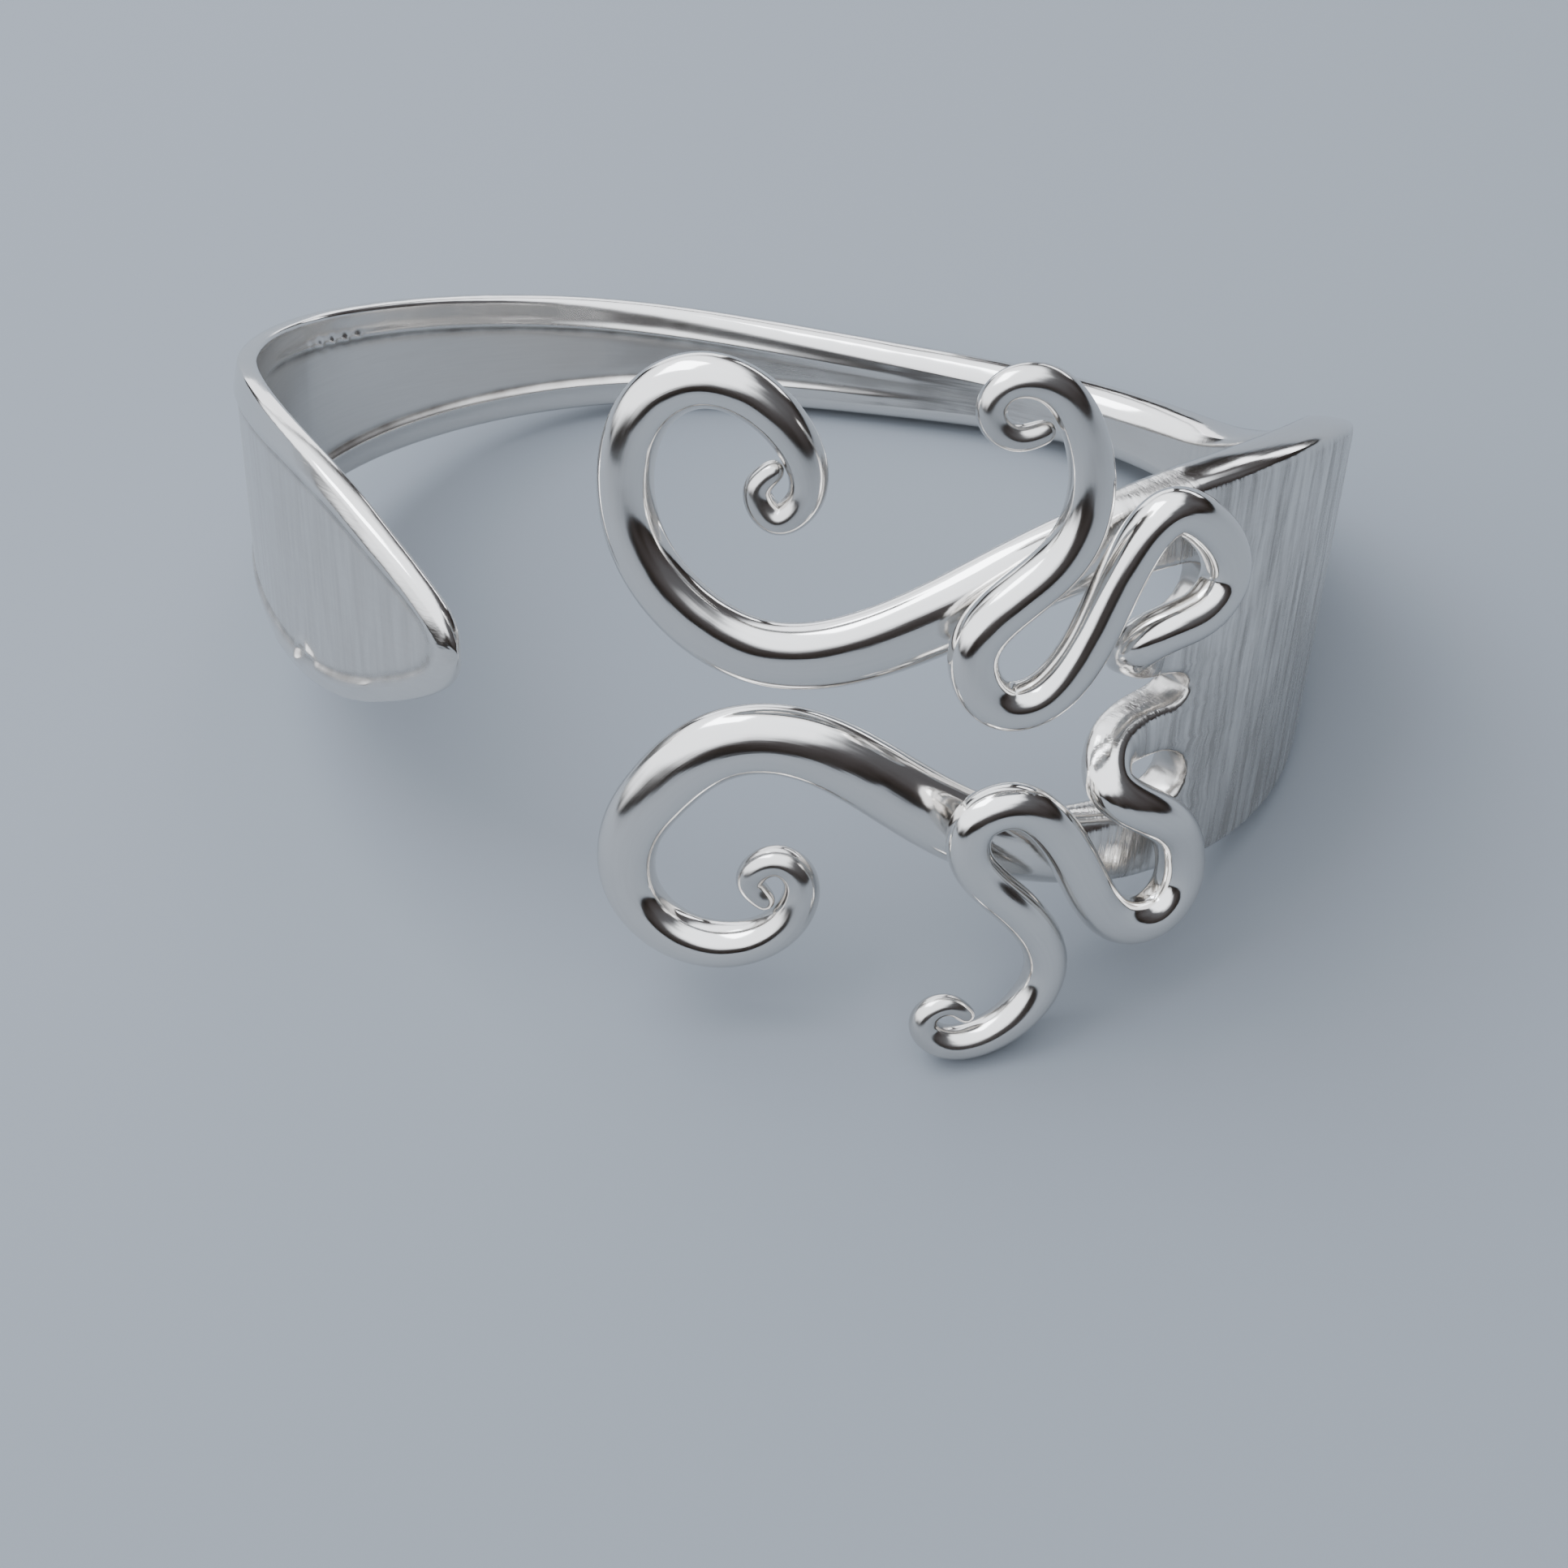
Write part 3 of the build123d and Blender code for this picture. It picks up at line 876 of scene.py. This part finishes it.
@dataclass(frozen=True)
class SilverPlate:
    """Silver plate over nickel silver, mop polished after bending.

    Nearly a mirror, with hair fine mop lines and a slow ripple from the bending, a satin
    inside face worn by the wrist, brush lines across the head whose darker tint is a painted
    reflection of streaks, and a brown grey tarnish where no mop reaches. The shares say how
    much each surface value adds to roughness or to the tint.
    """

    name: str = "polished_silver_plate"
    metal: str = "eae7e3"
    # brown grey of tarnish, also painted along the brush lines as a streaky reflection
    film_and_painted_streaks: str = "6b625a"
    polished: float = 0.085
    satin: float = 0.27
    ripple_mm: float = 5.0
    ripple_deep_mm: float = 0.13
    cloud_mm: float = 1.6
    mop_scale: tuple[float, float, float] = (0.3, 6.0, 6.0)
    mop_deep_mm: float = 0.006
    mop_rough: float = 0.07
    mop_film: float = 0.10
    brush_scale: tuple[float, float, float] = (2.4, 0.15, 0.5)
    brush_deep_mm: float = 0.022
    brush_rough: float = 0.22
    # share of the tarnish colour painted along the brush lines, as a painted reflection of streaks
    brush_painted_reflection: float = 0.50
    recess_rough: float = 0.20
    satin_film: float = 0.10

    @staticmethod
    def lines(tree: bpy.types.NodeTree, flow: bpy.types.NodeSocket,
              scale: tuple[float, float, float], detail: float) -> bpy.types.NodeSocket:
        """Noise stretched into lines, by its scale along, across and out of the fork, per millimetre."""
        lie = add_node(tree, "ShaderNodeMapping", {"Vector": flow, "Scale": scale})
        return add_node(tree, "ShaderNodeTexNoise", {
            "Vector": lie.outputs["Vector"], "Scale": 1.0, "Detail": detail, "Roughness": 0.6}).outputs["Fac"]

    @staticmethod
    def sum_of(tree: bpy.types.NodeTree, value: bpy.types.NodeSocket, share: bpy.types.NodeSocket | float,
               rest: bpy.types.NodeSocket | float) -> bpy.types.NodeSocket:
        """Value times share plus rest."""
        return add_node(tree, "ShaderNodeMath", {0: value, 1: share, 2: rest},
                        operation="MULTIPLY_ADD").outputs[0]

    def make(self) -> bpy.types.Material:
        """Builds the node material.

        Returns:
            The material, reading Object coordinates, the flow and the values named in SURFACE.
        """
        material = bpy.data.materials.new(self.name)
        material.use_nodes = True
        tree = material.node_tree
        tree.nodes.clear()
        spot = add_node(tree, "ShaderNodeTexCoord").outputs["Object"]
        satin, recess, brushed = (add_node(tree, "ShaderNodeAttribute", attribute_name=name).outputs["Fac"]
                                  for name in SURFACE)
        flow = add_node(tree, "ShaderNodeAttribute", attribute_name="flow").outputs["Vector"]
        mop = self.lines(tree, flow, self.mop_scale, 1.5)
        across = self.lines(tree, flow, self.brush_scale, 4.0)
        ripple = add_node(tree, "ShaderNodeTexNoise", {
            "Vector": spot, "Scale": 1.0 / (self.ripple_mm * MM), "Detail": 1.6}).outputs["Fac"]
        cloud = add_node(tree, "ShaderNodeTexNoise", {
            "Vector": spot, "Scale": 1.0 / (self.cloud_mm * MM), "Detail": 4.0}).outputs["Fac"]
        # brush lines: they roughen and bump the metal, and their darker tint is a painted streaky reflection
        brush_lines_and_painted_streaks = add_node(tree, "ShaderNodeMapRange", {
            "Value": across, "From Min": 0.36, "From Max": 0.66, "To Max": brushed}).outputs["Result"]
        rough = self.sum_of(tree, satin, self.satin - self.polished, self.polished)
        for value, share in ((mop, self.mop_rough), (brush_lines_and_painted_streaks, self.brush_rough), (recess, self.recess_rough)):
            rough = self.sum_of(tree, value, share, rough)
        # tint share: tarnish where no mop reaches, satin and mop tint, and painted streaky reflection along
        # the brush lines
        film_and_painted_streak_share = self.sum_of(tree, recess, cloud, 0.0)
        for value, share in ((satin, self.satin_film), (brush_lines_and_painted_streaks, self.brush_painted_reflection), (mop, self.mop_film)):
            film_and_painted_streak_share = self.sum_of(tree, value, share, film_and_painted_streak_share)
        tint = add_node(tree, "ShaderNodeMix", {
            "Factor": film_and_painted_streak_share, "A": linear(self.metal), "B": linear(self.film_and_painted_streaks)}, data_type="RGBA")
        slow = add_node(tree, "ShaderNodeBump", {
            "Height": ripple, "Strength": 1.0, "Distance": self.ripple_deep_mm * MM})
        calm = self.sum_of(tree, satin, -0.42, 0.5)
        hair = add_node(tree, "ShaderNodeBump", {
            "Height": mop, "Strength": calm, "Distance": self.mop_deep_mm * MM,
            "Normal": slow.outputs["Normal"]})
        fine = add_node(tree, "ShaderNodeBump", {
            "Height": brush_lines_and_painted_streaks, "Strength": 1.0, "Distance": self.brush_deep_mm * MM,
            "Normal": hair.outputs["Normal"]})
        shader = add_node(tree, "ShaderNodeBsdfPrincipled", {
            "Base Color": tint.outputs["Result"], "Metallic": 1.0, "Roughness": rough,
            "Normal": fine.outputs["Normal"]})
        add_node(tree, "ShaderNodeOutputMaterial", {"Surface": shader.outputs["BSDF"]})
        return material


@dataclass(frozen=True)
class PaleFloor:
    """Matt pale grey floor, plain."""

    name: str = "pale_floor"
    colour: str = "70757b"

    def make(self) -> bpy.types.Material:
        """Builds the floor's material."""
        material = bpy.data.materials.new(self.name)
        material.use_nodes = True
        shader = material.node_tree.nodes["Principled BSDF"]
        shader.inputs["Base Color"].default_value = linear(self.colour)
        shader.inputs["Roughness"].default_value = 0.9
        return material


@dataclass
class Cuff:
    """The whole bracelet: strip and tines in one shell of one metal."""

    bend: WristBend
    finish: SilverPlate
    levels: int = 1

    def build(self) -> bpy.types.Object:
        """Builds and dresses the cuff.

        Returns:
            The cuff's object, riding on the frame's body in place of its solid.
        """
        blade = Blade(self.bend, Section(), make_tines())
        shell = Shell()
        blade.build(shell)
        mesh = shell.mesh("cuff_metal", self.bend)
        mesh.materials.append(self.finish.make())
        cuff = bpy.data.objects.new("cuff_metal", mesh)
        bpy.context.scene.collection.objects.link(cuff)
        smooth = cuff.modifiers.new("smooth", "SUBSURF")
        smooth.levels = smooth.render_levels = self.levels
        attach(cuff, "root")
        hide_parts("fork_cuff")
        quads = sum(len(face.vertices) for face in mesh.polygons) * 4 ** (self.levels - 1)
        LOG.info("cuff_metal: %d faces, %d triangles once smoothed", len(mesh.polygons), 2 * quads)
        return cuff


@dataclass
class Studio:
    """Pale floor, soft lights and the camera, none of them part of the object."""

    bend: WristBend
    eye: tuple[float, float, float] = (1.8, -112.0, 51.04)
    down: float = 32.1
    roll: float = -2.44
    lens: float = 2600.0 / 1932.0 * 36.0
    floor_size: float = 4.0
    sky: tuple[float, float, float] = (-0.33, 0.00, 0.88)
    sky_edge: tuple[float, float] = (0.30, 0.60)
    sky_power: float = 2.8
    sky_colour: str = "f1f7ff"
    cloud_scale: float = 1.9
    bands: tuple[tuple[float, str], ...] = (
        (0.00, "221d1a"), (0.10, "332d2a"), (0.35, "514e50"), (0.70, "73767c"), (1.00, "8f959d"),
    )

    def camera(self) -> None:
        """Sets the camera where the photograph was taken from, relative to the cuff."""
        tilt, roll = math.radians(self.down), math.radians(self.roll)
        ahead = np.array([0.0, math.cos(tilt), -math.sin(tilt)])
        right = np.array([1.0, 0.0, 0.0])
        below = np.array([0.0, -math.sin(tilt), -math.cos(tilt)])
        level = math.cos(roll) * right + math.sin(roll) * below
        lower = -math.sin(roll) * right + math.cos(roll) * below
        axes = [self.bend.aim(v) for v in (level, -lower, -ahead)]
        data = bpy.data.cameras.new("camera")
        data.lens = self.lens
        data.sensor_width = 36.0
        data.clip_start = 0.005
        camera = bpy.data.objects.new("camera", data)
        turn = Matrix([Vector(v) for v in axes]).transposed().to_4x4()
        place = self.bend.lay(np.array([self.eye]))[0]
        camera.matrix_world = Matrix.Translation(Vector(place)) @ turn
        bpy.context.scene.collection.objects.link(camera)
        bpy.context.scene.camera = camera

    def floor(self) -> None:
        """Lays one large plain plane at height zero."""
        half = self.floor_size / 2
        mesh = bpy.data.meshes.new("floor")
        corners = [(-half, -half, 0.0), (half, -half, 0.0), (half, half, 0.0), (-half, half, 0.0)]
        mesh.from_pydata(corners, [], [(0, 1, 2, 3)])
        mesh.materials.append(PaleFloor().make())
        floor = bpy.data.objects.new("floor", mesh)
        bpy.context.scene.collection.objects.link(floor)

    def light(self, name: str, place: tuple[float, float, float], size: tuple[float, float],
              power: float, colour: str) -> None:
        """Adds a soft box that faces the cuff."""
        data = bpy.data.lights.new(name, "AREA")
        data.shape = "RECTANGLE"
        data.size, data.size_y = size
        data.energy = power
        data.color = linear(colour)[:3]
        lamp = bpy.data.objects.new(name, data)
        lamp.location = place
        lamp.rotation_euler = (-Vector(place)).to_track_quat("-Z", "Y").to_euler()
        bpy.context.scene.collection.objects.link(lamp)

    def lights(self) -> None:
        """A near soft box at the upper left and two low strips behind."""
        self.light("soft_box", (-0.13, 0.08, 0.32), (0.24, 0.20), 1.20, "eff6ff")
        self.light("back_strip", (-0.14, 0.60, 0.10), (0.44, 0.20), 0.75, "f2f7ff")
        self.light("side_strip", (0.36, 0.56, 0.15), (0.42, 0.09), 0.50, "f2f7ff")

    def world(self) -> None:
        """A dark warm room, paler with height, and a soft bright patch of sky at the upper left.

        Height picks the room's shade, and the angle to the patch's middle how bright the patch
        is. Slow noise moves both, as clouds and a skyline would.
        """
        world = bpy.data.worlds.new("studio")
        bpy.context.scene.world = world
        world.use_nodes = True
        tree = world.node_tree
        tree.nodes.clear()
        way = add_node(tree, "ShaderNodeTexCoord").outputs["Generated"]
        height = add_node(tree, "ShaderNodeSeparateXYZ", {0: way}).outputs["Z"]
        cosine = add_node(tree, "ShaderNodeVectorMath", {0: way, 1: tuple(unit(np.array(self.sky)))},
                          operation="DOT_PRODUCT").outputs["Value"]
        cloud = add_node(tree, "ShaderNodeTexNoise", {
            "Vector": way, "Scale": self.cloud_scale, "Detail": 2.0}).outputs["Fac"]
        drift = add_node(tree, "ShaderNodeMath", {0: cloud, 1: 0.5}, operation="SUBTRACT").outputs[0]
        skyline = add_node(tree, "ShaderNodeMath", {0: drift, 1: 0.5, 2: height}, operation="MULTIPLY_ADD")
        ramp = add_node(tree, "ShaderNodeValToRGB", {"Fac": skyline.outputs[0]})
        stops = ramp.color_ramp.elements
        for number, (place, code) in enumerate(self.bands):
            stop = stops[number] if number < 2 else stops.new(place)
            stop.position = place
            stop.color = linear(code)
        moved = add_node(tree, "ShaderNodeMath", {0: drift, 1: 0.5, 2: cosine}, operation="MULTIPLY_ADD")
        share = add_node(tree, "ShaderNodeMapRange", {
            "Value": moved.outputs[0], "From Min": self.sky_edge[0], "From Max": self.sky_edge[1],
            "To Max": self.sky_power}, interpolation_type="SMOOTHSTEP").outputs["Result"]
        room = add_node(tree, "ShaderNodeBackground", {"Color": ramp.outputs["Color"], "Strength": 1.0})
        patch = add_node(tree, "ShaderNodeBackground", {"Color": linear(self.sky_colour), "Strength": share})
        both = add_node(tree, "ShaderNodeAddShader", {0: room.outputs[0], 1: patch.outputs[0]})
        add_node(tree, "ShaderNodeOutputWorld", {"Surface": both.outputs[0]})

    def build(self) -> None:
        """Sets up floor, lights, surround and camera."""
        self.floor()
        self.lights()
        self.world()
        self.camera()


def main() -> None:
    """Builds every piece in order."""
    logging.basicConfig(level=logging.INFO, format="%(name)s %(message)s")
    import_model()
    bend = WristBend()
    Cuff(bend, SilverPlate()).build()
    Studio(bend).build()


if __name__ == "__main__":
    main()
